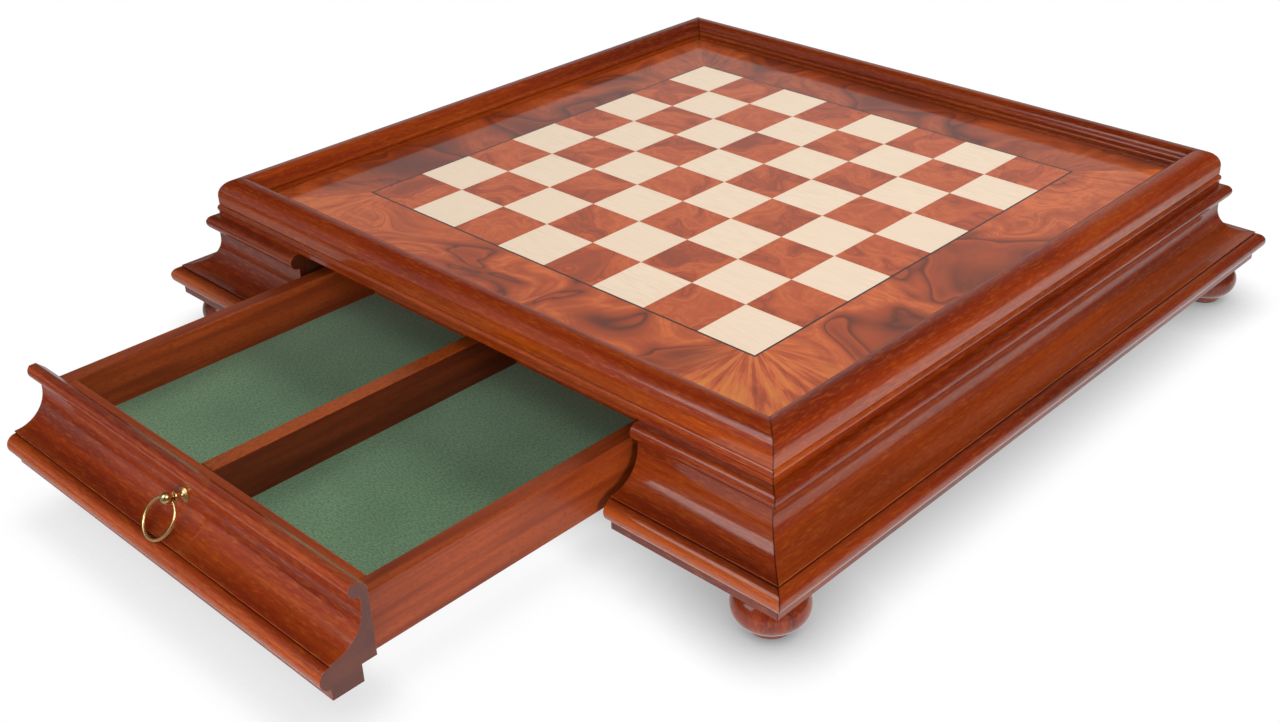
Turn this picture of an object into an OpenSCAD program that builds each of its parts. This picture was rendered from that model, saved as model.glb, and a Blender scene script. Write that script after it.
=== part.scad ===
// Chess box: a board in a raised frame on a moulded case with a drawer in the front and one in
// the back. Each drawer is lined with felt, split by a divider and opened by a brass ring.
// Millimetres, +Z up. The front drawer opens towards -Y, the back drawer towards +Y. The origin
// is on the table, below the middle of the footprint, which the open front drawer is part of.

/* [Board] */
// Side of one square
square_w = 40; // [34:0.5:46]
// Width of the dark line round the squares
stringing_w = 1.3; // [0.8:0.1:3]
// Width of the burl border, from the dark line to the frame
border_w = 46; // [36:0.5:60]
// Thickness of the veneers
veneer_t = 0.6; // [0.4:0.1:1.2]
// Thickness of the board under the veneers
board_t = 11; // [9:0.5:14]
// How far the board reaches under the frame
board_tongue = 7.3; // [5:0.1:9]

/* [Top frame] */
// Width of the frame moulding at its flat outer face
frame_w = 23; // [22:0.1:28]
// Height of the frame's crest above the squares
crest_h = 12.2; // [11:0.1:15]
// Radius of the crest's outer rounding
crest_r = 11.8; // [8:0.1:13]
// Radius of the crest's inner rounding
ovolo_r = 5.5; // [4.5:0.1:6.5]
// Width of the flat between the two roundings
crest_flat = 0.5; // [0.3:0.1:1.5]
// Height of the small step where the frame meets the border
frame_step_h = 2.2; // [1:0.1:3]
// Radius of the small bead above that step
inner_bead_r = 1.9; // [1.2:0.1:2.1]
// Depth of the flat outer face below the squares
face_drop = 4.6; // [4:0.1:5.5]
// Radius of the bead under the outer face
face_bead_r = 3.3; // [2.5:0.1:3.8]
// How far that bead stands proud of the face
face_bead_proud = 1.2; // [0.5:0.1:2]
// Depth of the frame's underside below the squares
frame_drop = 12.6; // [12:0.1:16]
// How far the bead reaches up behind the face
quirk = 0.3; // [0.1:0.1:1]
// Depth of the fine groove between the face and the bead
groove_in = 0.7; // [0.3:0.1:1.5]
// How far the plain band under the bead stands proud of the face
band_out = 0.6; // [0.2:0.1:0.9]

/* [Base moulding] */
// Height of the base moulding
base_h = 54.9; // [53:0.1:62]
// How far the moulding's foot stands out from the carcass
plinth_out = 26; // [25.5:0.1:30]
// Height of the flat at the moulding's foot
plinth_h = 6.4; // [4:0.1:6.8]
// Radius of the large round above the foot
torus_r = 6.1; // [5.6:0.1:6.3]
// How far that round stands proud of the foot
torus_proud = 5.3; // [4.5:0.1:6]
// Height of the narrow step between that round and the lip of the hollow
lip_h = 1.5; // [1:0.1:3]
// How far the lip is set back from the foot
lip_inset = 0.6; // [0.2:0.1:1.5]
// Radius of the hollow
cove_r = 19.2; // [18:0.1:19.5]
// Thickness of the moulding at the narrowest place of the hollow
neck_t = 5.2; // [5:0.1:8]
// Radius of the half-round at the top
bead_r = 4.9; // [4.5:0.1:5.4]
// How far that half-round's centre stands out from the narrowest place
bead_set = 0.6; // [0.2:0.1:1]
// Depth of the rebate that takes the bottom board
rebate_w = 8.4; // [6:0.1:10]

/* [Carcass] */
// Thickness of the bottom board
bottom_t = 9.5; // [8:0.1:12]
// Thickness of the carcass walls and the drawer partitions
wall_t = 12.6; // [9:0.1:14]
// How far the carcass stands out past the edge of the board
carcass_out = 12.6; // [12:0.1:14]
// Side of the glue blocks in the corners
block_w = 20; // [15:1:25]
// Clearance between pieces that are glued together
glue_gap = 0.1; // [0.05:0.01:0.2]
// Width of the stop between the two drawers
stop_w = 16; // [10:1:20]
// Height of the stop between the two drawers
stop_h = 10; // [6:0.5:20]
// How far the stop falls short of the drawer box at each end
stop_short = 10; // [0:1:60]
// How far the kickers above a drawer reach in over its sides
kicker_lap = 9; // [4:0.5:10]

/* [Feet] */
// Height of the turned feet, with their pads
foot_h = 27; // [24:0.5:35]
// Largest diameter of a foot
foot_d = 41.4; // [36:0.1:44]
// Radius of the round of the foot's bun
bun_r = 10.5; // [9:0.1:11]
// Diameter of the small disc under the bun
foot_disc_d = 24.6; // [20:0.1:28]
// Height of the small disc
foot_disc_h = 3; // [2:0.1:5]
// Diameter of the foot's neck under the case
foot_neck_d = 29; // [24:0.1:32]
// Thickness of the felt pad under a foot
pad_t = 1; // [0.8:0.1:2]
// How far that pad's edge is set back from the disc's edge
pad_inset = 0.8; // [0.2:0.1:2]
// Distance of a foot's axis from the foot of the moulding, both ways
foot_inset = 21.4; // [20.8:0.1:30]
// Diameter of the screw that holds a foot
foot_screw_d = 4; // [3:0.5:5]
// Length of the screw that holds a foot
foot_screw_l = 22; // [18:0.5:24]
// Wood left between the end of that screw and the inside of the case
screw_cover = 2; // [1:0.5:5]

/* [Drawers] */
// How far the front drawer stands open
drawer_open = 171; // [0:1:190]
// Length of a drawer's moulded front
front_w = 284; // [260:1:320]
// Gap at each end of the drawer front
front_gap = 2; // [0.8:0.1:3]
// Gap between the drawer front and the case behind it
front_clear = 0.4; // [0.3:0.1:1]
// Gap between the drawer front and the frame above it
front_top_gap = 1; // [0.5:0.1:2]
// Height and depth of the slope behind the front's upper edge
front_slope = 5.2; // [3:0.1:5.5]
// How far the drawer front reaches past the box at each end
front_lap = 3; // [2:0.5:8]
// Gap between a closed drawer box and the stop
stop_gap = 1.1; // [0.6:0.1:3]
// Height of a drawer box
box_h = 32.6; // [28:0.1:38]
// Thickness of a drawer's sides and back
side_t = 10.4; // [8:0.1:12]
// Thickness of the wall behind the moulded front
inner_front_t = 9; // [6:0.1:12]
// Thickness of the divider
divider_t = 10.6; // [6:0.1:12]
// Height of the box bottom above the lower edge of the sides
box_bottom_lift = 2; // [1:0.1:4]
// Thickness of the box bottom
box_bottom_t = 4; // [3:0.1:6]
// Depth of the grooves that hold the box bottom
groove_d = 3; // [2:0.1:5]
// Thickness of the felt
felt_t = 1.2; // [1:0.1:2]
// Height of the gap that a drawer slides on, above and beside its runners
slide_gap = 0.5; // [0.3:0.1:1]
// Height of the side runners
runner_h = 8; // [5:0.5:15]

/* [Ring pulls] */
// Mean diameter of the ring
ring_d = 22; // [20:0.1:26]
// Thickness of the ring
ring_wire = 1.7; // [1.2:0.1:2]
// Diameter of the ball at the end of the post
ball_d = 6.6; // [5:0.1:7]
// Diameter of the rosette against the wood
rosette_d = 9; // [7:0.1:12]
// Diameter of the post between the rosette and the collar
post_neck_d = 3.4; // [3:0.1:4]
// Height of the rosette's flare
flare_h = 3.4; // [3:0.1:3.6]
// Diameter of the post's collar that holds the ring
collar_d = 5.6; // [5.2:0.1:6]
// Hole in the collar that the ring hangs in
eye_d = 2.9; // [2.8:0.1:3]
// Distance of the ring's hole from the wood
eye_out = 7.6; // [6.5:0.1:9]
// Distance of the ball's centre from the wood
ball_out = 9.1; // [8.5:0.1:11]
// Angle of the post above level, square to the hollow it stands in
post_angle = 18; // [15:1:35]
// Diameter of the screw on the post's inner end
post_screw_d = 3; // [2:0.1:4]
// Length of the screw on the post's inner end
post_screw_l = 5.5; // [4:0.5:6]
// Depth of the flat seat that the rosette is let into
seat_d = 0.3; // [0.2:0.1:0.6]
// Gap between the hanging ring and the moulding
ring_gap = 0.4; // [0.3:0.1:1]

/* [Hidden] */
$fn = 64;
squares = 8;                                  // squares along one side of a chess board
eps = 0.01;

field = squares*square_w/2;                   // half of the chequered field
border_in = field + stringing_w;
frame_in = border_in + border_w;              // inner edge of the frame
frame_out = frame_in + frame_w;               // flat outer face of the frame
board_half = frame_in + board_tongue - glue_gap;
rebate_line = frame_in + board_tongue;        // wall of the frame's rebate

bottom_z = foot_h;                            // underside of the case
base_top = bottom_z + base_h;                 // top of the base moulding
top_z = base_top + frame_drop;                // the playing surface
board_top = top_z - veneer_t;
board_bottom = board_top - board_t;
floor_z = bottom_z + bottom_t;                // upper face of the bottom board

carcass = rebate_line + carcass_out;          // outer face of the walls, which carries the moulding
wall_in = carcass - wall_t;                   // inner face of the carcass walls
inside = min(wall_in, rebate_line) - glue_gap;  // clear of the walls and of the frame's rebate
plinth = carcass + plinth_out;
bottom_half = carcass + rebate_w - glue_gap;
foot_at = plinth - foot_inset;

opening = front_w/2 + front_gap;              // half width of a drawer opening
box_half = front_w/2 - front_lap;
box_z = floor_z + slide_gap;
box_top = box_z + box_h;
felt_z = box_z + box_bottom_lift + box_bottom_t;
box_back = stop_w/2 + stop_gap;               // distance of a closed box's end from the middle
box_d = carcass + front_clear - box_back;     // depth of a drawer box from the front's back face
inner_half = box_half - side_t;
cavity_d = box_d - inner_front_t - side_t;    // inner length of the box

torus_u = plinth_out + torus_proud - torus_r; // the moulding's arcs, out from the carcass
torus_v = plinth_h + torus_r;                 // and up from its foot
lip_u = plinth_out - lip_inset;
lip_v = torus_v + torus_r + lip_h;
cove_u = neck_t + cove_r;
cove_v = lip_v + sqrt(cove_r*cove_r - pow(cove_u - lip_u, 2));
bead_u = neck_t + bead_set;
bead_v = base_h - bead_r;

post_u = cove_u - cove_r*cos(post_angle);     // where the post leaves the wood
post_v = cove_v - cove_r*sin(post_angle);
eye_u = post_u + eye_out*cos(post_angle);
eye_v = post_v + eye_out*sin(post_angle);
// The ring leans out until it hangs just clear of the moulding's lip and of the round below it.
ring_clear = ring_wire/2 + ring_gap;
lip_reach = norm([lip_u - eye_u, eye_v - lip_v]);
lip_lean = atan2(lip_u - eye_u, eye_v - lip_v) + asin(ring_clear/lip_reach);
torus_reach = norm([torus_u - eye_u, eye_v - torus_v]);
torus_cos = (pow(torus_reach, 2) + pow(ring_d, 2) - pow(torus_r + ring_clear, 2))
            /(2*torus_reach*ring_d);
torus_lean = atan2(torus_u - eye_u, eye_v - torus_v) + acos(min(1, torus_cos));
ring_lean = max(lip_lean, torus_lean);

front_y = -carcass - front_clear;             // back face of a moulded drawer front
foot_screw_top = floor_z - screw_cover;       // the screw stops inside the bottom board
foot_screw_z = foot_screw_top - foot_screw_l;

// ---- shared shapes

// A box given by its lowest and highest corner.
module block(low, high) {
    translate(low) cube(high - low);
}

// A profile of [outwards, up] swept along one side of the case, at distance from the middle.
// turn 0 is the back, 90 the left, 180 the front and 270 the right.
module rail(distance, z, half, turn) {
    rotate([0, 0, turn]) translate([0, distance, z]) rotate([90, 0, 90])
        linear_extrude(2*half, center = true) children();
}

// The quarter of the plan that belongs to one side, which cuts the mitres.
module side_wedge(turn) {
    reach = plinth + 20;
    rotate([0, 0, turn]) translate([0, 0, -eps]) linear_extrude(top_z + crest_h + 20)
        polygon([[0, 0], [reach, reach], [-reach, reach]]);
}

// What a rounding of radius r takes off a corner at the origin that points right and up.
module round_off(r) {
    translate([-r, -r]) difference() {
        square(r + 1);
        circle(r);
    }
}

// Section of the top frame: from its inner edge outwards, and up from the playing surface.
module frame_profile() {
    band_u = frame_w + band_out;
    groove_u = frame_w - groove_in;
    round_v = quirk - face_drop - face_bead_r;
    ovolo_u = frame_w - crest_r - crest_flat - ovolo_r;
    ovolo_v = crest_h - ovolo_r;
    step_u = ovolo_u - 2*inner_bead_r;
    union() {
        difference() {
            polygon([[board_tongue, -frame_drop], [band_u, -frame_drop], [band_u, round_v],
                     [groove_u, round_v], [groove_u, -face_drop],
                     [frame_w, -face_drop], [frame_w, crest_h], [ovolo_u, crest_h],
                     [ovolo_u, ovolo_v], [step_u, frame_step_h], [0, frame_step_h],
                     [0, 0], [board_tongue, 0]]);
            translate([frame_w, crest_h]) round_off(crest_r);
            translate([ovolo_u, crest_h]) mirror([1, 0]) round_off(ovolo_r);
        }
        translate([ovolo_u - inner_bead_r, frame_step_h + 0.7*inner_bead_r]) circle(inner_bead_r);
        translate([frame_w + face_bead_proud - face_bead_r, round_v]) circle(face_bead_r);
    }
}

// Section of the base moulding: out from the carcass, and up from the underside of the case.
module base_profile() {
    fillet_v = lip_v - lip_h/2;
    union() {
        difference() {
            union() {
                polygon([[0, 0], [plinth_out, 0], [plinth_out, fillet_v], [lip_u, fillet_v],
                         [lip_u, cove_v], [neck_t, cove_v], [neck_t, bead_v], [0, bead_v]]);
                translate([torus_u, torus_v]) circle(torus_r);
            }
            translate([cove_u, cove_v]) circle(cove_r);
            translate([-1, -1]) square([rebate_w + 1, bottom_t + glue_gap + 1]);
        }
        translate([0, bead_v - 1]) square([bead_u, bead_r + 1]);
        translate([bead_u, bead_v]) circle(bead_r);
    }
}

// The same section on a drawer, whose top slopes away at the back and which runs with clearance.
module face_profile() {
    face_h = base_h - front_top_gap;
    difference() {
        base_profile();
        translate([-1, face_h]) square([2*bead_r + neck_t + 2, front_top_gap + 1]);
        polygon([[-1, face_h - front_slope - 1], [front_slope, face_h],
                 [front_slope, face_h + 1], [-1, face_h + 1]]);
        translate([-1, -1]) square([front_clear + 1, base_h + 2]);
        translate([-1, -1]) square([rebate_w + front_clear + 1, bottom_t + front_clear + 1]);
    }
}

// Shapes are drawn about the middle of the case, which stands behind the origin by half of
// the distance that the front drawer is open.
module on_case() {
    translate([0, drawer_open/2, 0]) children();
}

// ---- board and top frame

module frame_side(turn) {
    color("sienna") intersection() {
        rail(frame_in, top_z, frame_out + 5, turn) frame_profile();
        side_wedge(turn);
    }
}

module board() {
    color("burlywood")
        block([-board_half, -board_half, board_bottom], [board_half, board_half, board_top]);
}

module border_side(turn) {
    color("chocolate") intersection() {
        rotate([0, 0, turn])
            block([-board_half, border_in, board_top], [board_half, board_half - glue_gap, top_z]);
        side_wedge(turn);
    }
}

module stringing() {
    color("black") difference() {
        block([-border_in, -border_in, board_top], [border_in, border_in, top_z]);
        block([-field, -field, board_top - 1], [field, field, top_z + 1]);
    }
}

// One colour of squares: parity 1 has the corner at +X, -Y.
module squares_of(parity) {
    for (column = [0:squares - 1], row = [0:squares - 1])
        if ((column + row)%2 == parity)
            translate([column*square_w - field, row*square_w - field, board_top])
                cube([square_w, square_w, veneer_t]);
}

module light_squares() {
    color("wheat") squares_of(1);
}

module dark_squares() {
    color("saddlebrown") squares_of(0);
}

// ---- case

// A whole side of the base moulding, or the part of it from x = from to x = to of that side.
module base_side(turn) {
    color("brown") intersection() {
        rail(carcass, bottom_z, plinth + 15, turn) base_profile();
        side_wedge(turn);
    }
}

// The two pieces beside a drawer opening. hand is 1 or -1 along that side.
module base_piece(turn, hand) {
    intersection() {
        base_side(turn);
        rotate([0, 0, turn]) translate([hand > 0 ? opening : -opening - plinth, 0, 0])
            cube([plinth, plinth + 20, base_top + 5]);
    }
}

module bottom_board() {
    color("tan") difference() {
        block([-bottom_half, -bottom_half, bottom_z], [bottom_half, bottom_half, floor_z]);
        at_feet() translate([0, 0, -1]) cylinder(d = foot_screw_d, h = foot_screw_top + 1);
    }
}

module carcass_side(hand) {
    color("peru") translate([hand > 0 ? wall_in : -carcass, -carcass, floor_z])
        cube([wall_t, 2*carcass, base_top - floor_z]);
}

// The two short walls beside a drawer opening.
module carcass_end(facing) {
    color("peru") for (hand = [-1, 1])
        translate([hand > 0 ? opening : -wall_in, facing > 0 ? wall_in : -carcass, floor_z])
            cube([wall_in - opening, wall_t, base_top - floor_z]);
}

// The wall beside the drawers, which carries the board.
module partition(hand) {
    color("peru") translate([hand > 0 ? opening : -opening - wall_t, -inside, floor_z])
        cube([wall_t, 2*inside, board_bottom - floor_z]);
}

// Strips on the bottom board that guide the drawer boxes.
module runners() {
    color("peru") for (hand = [-1, 1])
        translate([hand > 0 ? box_half + slide_gap : -opening, -inside, floor_z])
            cube([opening - box_half - slide_gap, 2*inside, runner_h]);
}

// Strips under the board that keep an open drawer from tipping.
module kickers() {
    kicker_z = box_top + slide_gap;
    color("peru") for (hand = [-1, 1])
        translate([hand > 0 ? box_half - kicker_lap : -opening, -inside, kicker_z])
            cube([opening - box_half + kicker_lap, 2*inside, board_bottom - kicker_z]);
}

module drawer_stop() {
    stop_half = box_half - stop_short;
    color("peru")
        block([-stop_half, -stop_w/2, floor_z], [stop_half, stop_w/2, floor_z + stop_h]);
}

module corner_blocks() {
    color("peru") for (turn = [0:90:270])
        rotate([0, 0, turn])
            block([inside - block_w, inside - block_w, floor_z], [inside, inside, board_bottom]);
}

// ---- feet

module at_feet() {
    for (x = [-1, 1], y = [-1, 1]) translate([x*foot_at, y*foot_at, 0]) children();
}

module foot(x, y) {
    bun_z = pad_t + foot_disc_h + bun_r;
    color("firebrick") translate([x*foot_at, y*foot_at, 0]) difference() {
        rotate_extrude() {
            translate([0, pad_t]) square([foot_disc_d/2, foot_disc_h]);
            translate([0, bun_z - bun_r]) square([foot_d/2 - bun_r, 2*bun_r]);
            intersection() {
                translate([foot_d/2 - bun_r, bun_z]) circle(bun_r);
                translate([0, bun_z - bun_r]) square([foot_d, 2*bun_r]);
            }
            translate([0, bun_z]) square([foot_neck_d/2, foot_h - bun_z]);
        }
        translate([0, 0, foot_screw_z]) cylinder(d = foot_screw_d, h = foot_screw_l);
    }
}

module foot_pads() {
    color("dimgray") at_feet() cylinder(d = foot_disc_d - 2*pad_inset, h = pad_t);
}

module foot_screws() {
    color("silver") at_feet() translate([0, 0, foot_screw_z])
        cylinder(d = foot_screw_d, h = foot_screw_l);
}

// ---- drawers, drawn closed in the front

module in_front() {
    on_case() translate([0, -drawer_open, 0]) children();
}

module in_back() {
    on_case() rotate([0, 0, 180]) children();
}

// Puts the pull's axis, from the wood outwards, along the post's slant.
module at_post() {
    translate([0, -carcass - post_u, bottom_z + post_v]) rotate([90 - post_angle, 0, 0]) children();
}

module drawer_face() {
    color("brown") difference() {
        rail(carcass, bottom_z, front_w/2, 180) face_profile();
        at_post() translate([0, 0, -post_screw_l]) cylinder(d = post_screw_d, h = post_screw_l + 1);
        at_post() translate([0, 0, -seat_d]) cylinder(d = rosette_d + 2*glue_gap, h = 3);
    }
}

module drawer_inner_front() {
    color("sienna") difference() {
        block([-inner_half, front_y, box_z], [inner_half, front_y + inner_front_t, box_top]);
        box_bottom_solid(0);
    }
}

// The box bottom, less play all round. Its place is also cut from the sides and the ends.
module box_bottom_solid(play) {
    reach = groove_d - play;
    block([-inner_half - reach, front_y + inner_front_t - reach, box_z + box_bottom_lift],
          [inner_half + reach, -box_back - side_t + reach, felt_z]);
}

module drawer_side(hand) {
    color("sienna") difference() {
        block([hand > 0 ? inner_half : -box_half, front_y, box_z],
              [hand > 0 ? box_half : -inner_half, -box_back, box_top]);
        box_bottom_solid(0);
    }
}

module drawer_back() {
    color("sienna") difference() {
        block([-inner_half, -box_back - side_t, box_z], [inner_half, -box_back, box_top]);
        box_bottom_solid(0);
    }
}

module drawer_divider() {
    color("sienna") block([-divider_t/2, front_y + inner_front_t, felt_z],
                          [divider_t/2, -box_back - side_t, box_top]);
}

module drawer_bottom() {
    color("tan") box_bottom_solid(glue_gap);
}

module drawer_felt(hand) {
    color("darkseagreen")
        block([hand > 0 ? divider_t/2 : -inner_half, front_y + inner_front_t, felt_z],
              [hand > 0 ? inner_half : -divider_t/2, -box_back - side_t, felt_z + felt_t]);
}

// ---- ring pulls

module pull_post() {
    neck_r = post_neck_d/2;
    color("gold") at_post() difference() {
        union() {
            translate([0, 0, -post_screw_l]) cylinder(d = post_screw_d, h = post_screw_l + 1);
            rotate_extrude() difference() {
                translate([0, -seat_d]) square([rosette_d/2, flare_h + seat_d]);
                translate([rosette_d/2, flare_h]) circle(rosette_d/2 - neck_r);
            }
            cylinder(r = neck_r, h = ball_out);
            translate([0, 0, eye_out]) sphere(d = collar_d);
            translate([0, 0, ball_out]) sphere(d = ball_d);
        }
        translate([0, 0, eye_out]) rotate([0, 90, 0]) cylinder(d = eye_d, h = 2*collar_d, center = true);
    }
}

module pull_ring() {
    color("gold") translate([0, -carcass - eye_u, bottom_z + eye_v]) rotate([-ring_lean, 0, 0])
        translate([0, 0, -ring_d/2]) rotate([90, 0, 0])
            rotate_extrude() translate([ring_d/2, 0]) circle(d = ring_wire);
}

// ---- the parts

on_case() frame_side(180);  // frame_front
on_case() frame_side(0);  // frame_back
on_case() frame_side(90);  // frame_left
on_case() frame_side(270);  // frame_right
on_case() board();
on_case() border_side(180);  // border_front
on_case() border_side(0);  // border_back
on_case() border_side(90);  // border_left
on_case() border_side(270);  // border_right
on_case() stringing();
on_case() light_squares();
on_case() dark_squares();
on_case() base_side(90);  // base_left
on_case() base_side(270);  // base_right
on_case() base_piece(180, 1);  // base_front_left
on_case() base_piece(180, -1);  // base_front_right
on_case() base_piece(0, -1);  // base_back_left
on_case() base_piece(0, 1);  // base_back_right
on_case() bottom_board();
on_case() carcass_side(-1);  // carcass_left
on_case() carcass_side(1);  // carcass_right
on_case() carcass_end(-1);  // carcass_front
on_case() carcass_end(1);  // carcass_back
on_case() partition(-1);  // partition_left
on_case() partition(1);  // partition_right
on_case() runners();
on_case() kickers();
on_case() drawer_stop();
on_case() corner_blocks();
on_case() foot(-1, -1);  // foot_front_left
on_case() foot(1, -1);  // foot_front_right
on_case() foot(-1, 1);  // foot_back_left
on_case() foot(1, 1);  // foot_back_right
on_case() foot_pads();
on_case() foot_screws();
in_front() drawer_face();  // front_drawer_face
in_front() drawer_inner_front();  // front_drawer_inner_front
in_front() drawer_side(-1);  // front_drawer_left
in_front() drawer_side(1);  // front_drawer_right
in_front() drawer_back();  // front_drawer_back
in_front() drawer_divider();  // front_drawer_divider
in_front() drawer_bottom();  // front_drawer_bottom
in_front() drawer_felt(-1);  // front_drawer_felt_left
in_front() drawer_felt(1);  // front_drawer_felt_right
in_front() pull_post();  // front_pull_post
in_front() pull_ring();  // front_pull_ring
in_back() drawer_face();  // back_drawer_face
in_back() drawer_inner_front();  // back_drawer_inner_front
in_back() drawer_side(-1);  // back_drawer_left
in_back() drawer_side(1);  // back_drawer_right
in_back() drawer_back();  // back_drawer_back
in_back() drawer_divider();  // back_drawer_divider
in_back() drawer_bottom();  // back_drawer_bottom
in_back() drawer_felt(-1);  // back_drawer_felt_left
in_back() drawer_felt(1);  // back_drawer_felt_right
in_back() pull_post();  // back_pull_post
in_back() pull_ring();  // back_pull_ring
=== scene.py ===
# A chess box with a drawer front and back: mouldings, veneers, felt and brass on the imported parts.
# Lengths in the dictionaries are millimetres, and angles are degrees. Sections are drawn in the
# YZ plane: Y out from the middle of the case, Z up.
from math import acos, asin, atan2, cos, degrees, hypot, pi, radians, sin

import bpy
from mathutils import Matrix, Vector, noise


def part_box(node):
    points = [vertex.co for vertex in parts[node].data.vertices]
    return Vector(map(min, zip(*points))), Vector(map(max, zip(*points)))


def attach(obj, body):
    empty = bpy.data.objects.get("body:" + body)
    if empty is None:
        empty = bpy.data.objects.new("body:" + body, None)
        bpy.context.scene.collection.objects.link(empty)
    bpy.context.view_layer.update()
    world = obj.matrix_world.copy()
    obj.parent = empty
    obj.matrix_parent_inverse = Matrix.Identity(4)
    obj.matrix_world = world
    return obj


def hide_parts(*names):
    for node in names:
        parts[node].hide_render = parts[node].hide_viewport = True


mm = 0.001
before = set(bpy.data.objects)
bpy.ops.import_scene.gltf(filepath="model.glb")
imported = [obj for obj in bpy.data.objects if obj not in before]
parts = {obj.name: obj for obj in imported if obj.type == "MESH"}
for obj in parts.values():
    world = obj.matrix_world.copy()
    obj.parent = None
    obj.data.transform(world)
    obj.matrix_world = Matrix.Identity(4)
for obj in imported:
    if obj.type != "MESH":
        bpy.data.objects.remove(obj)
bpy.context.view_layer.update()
boardLow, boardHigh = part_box("board")
# the case stands behind the origin by half the open drawer
caseY = (boardLow.y + boardHigh.y)/2/mm
squareWidth = 40
print("frame loaded:", len(parts), "parts, case at y =", round(caseY, 1), "mm")


def shade(hexColour):    # sRGB hex to linear
    channels = [int(hexColour[i:i + 2], 16)/255 for i in (1, 3, 5)]
    return [c/12.92 if c <= 0.04045 else ((c + 0.055)/1.055)**2.4 for c in channels] + [1.0]


def addNode(tree, kind, inputs, stops=(), **settings):
    node = tree.nodes.new("ShaderNode" + kind)
    for name, value in settings.items():
        setattr(node, name, value)
    for socket, value in inputs.items():
        if isinstance(value, bpy.types.NodeSocket):
            tree.links.new(value, node.inputs[socket])
        else:
            node.inputs[socket].default_value = value
    for number, (position, tone) in enumerate(stops):    # the stops of a colour ramp
        elements = node.color_ramp.elements
        element = elements[number] if number < 2 else elements.new(position)
        element.position = position
        element.color = shade(tone) if isinstance(tone, str) else [tone]*3 + [1.0]
    return node


def newMaterial(name):
    material = bpy.data.materials.new(name)
    material.use_nodes = True
    tree = material.node_tree
    tree.nodes.clear()
    surface = addNode(tree, "BsdfPrincipled", {})
    addNode(tree, "OutputMaterial", {"Surface": surface.outputs[0]})
    return material, tree, surface


# Object coordinates in repeats of a noise: perLength mm along the grain, perWidth mm across it
def grainSpace(tree, along, perLength, perWidth, offset=(0, 0, 0)):
    place = addNode(tree, "TexCoord", {}).outputs["Object"]
    scale = [1/(mm*(perLength if axis == along else perWidth)) for axis in "XYZ"]
    grain = addNode(tree, "Mapping", {"Vector": place, "Location": offset, "Scale": scale})
    return grain.outputs[0]


def setGloss(surface, look):    # a dull wood under a clear coat
    for socket, key in (("Roughness", "roughness"), ("Specular IOR Level", "shine"),
                        ("Coat Weight", "coat"), ("Coat Roughness", "coatRoughness")):
        surface.inputs[socket].default_value = look[key]


# Beech stained red-brown under a polished lacquer: soft streaks, golden flecks where the stain
# took less, short dark pores, and a clear coat that carries the highlights.
mouldingWood = {
    "dark": "#5c1803", "middle": "#7a2605", "light": "#8d3808", "gold": "#a85a18",
    # the mouldings' end grain tone is darker than the drawer front's partly as painted shade, for
    # the ends standing in the shade of the drawer openings
    "pore": "#3a1003", "end": "#30140b", "rubbedAndLit": "#a84c14",
    "tones": ((0.32, "dark"), (0.50, "middle"), (0.70, "light")),
    # mm along the grain and across it, and the detail of the noise
    "grain": {"streaks": (200, 16, 5), "fibres": (70, 1.8, 3), "flecks": (7, 1.1, 2),
              "pores": (3.5, 0.45, 1)},
    # over which part of the noise a tone comes or goes, its share at each end, and the tone
    "marks": {"fibres": (0.36, 0.60, 0.35, 0.0, "dark"), "flecks": (0.50, 0.72, 0.0, 0.32, "gold"),
              "pores": (0.28, 0.42, 0.32, 0.0, "pore")},
    "poreDepth": 0.1, "poreStrength": 0.12,
    "joint": (0.3, 0.8, 0.8),    # a mitre's dark line: full to, gone by, share
    "rubAndLitBand": (85, 100, 0.25),    # heights between which the stain is rubbed thin and light is painted on, and the share
    "rubAndLitFade": (0.4, 1.1),    # where in half of that band it starts to fade, and where it ends
    # how far to look for shut-in places, then the painted shade and stain there, and the thinned
    # lacquer
    "quirk": 3.0, "quirkStainAndShade": (0.35, 0.8, 0.9), "quirkLacquerAndShade": (0.3, 0.85, 0.05),
    "endCut": (0.95, 0.99, 0.85),    # end grain by how squarely a face looks along the grain
    "roughness": 0.55, "shine": 0.1, "coat": 1.0, "coatRoughness": 0.13,
}

# the base is stained a shade deeper
baseWood = dict(mouldingWood, dark="#521503", middle="#6d2104", light="#7e3107", gold="#985116")


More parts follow.
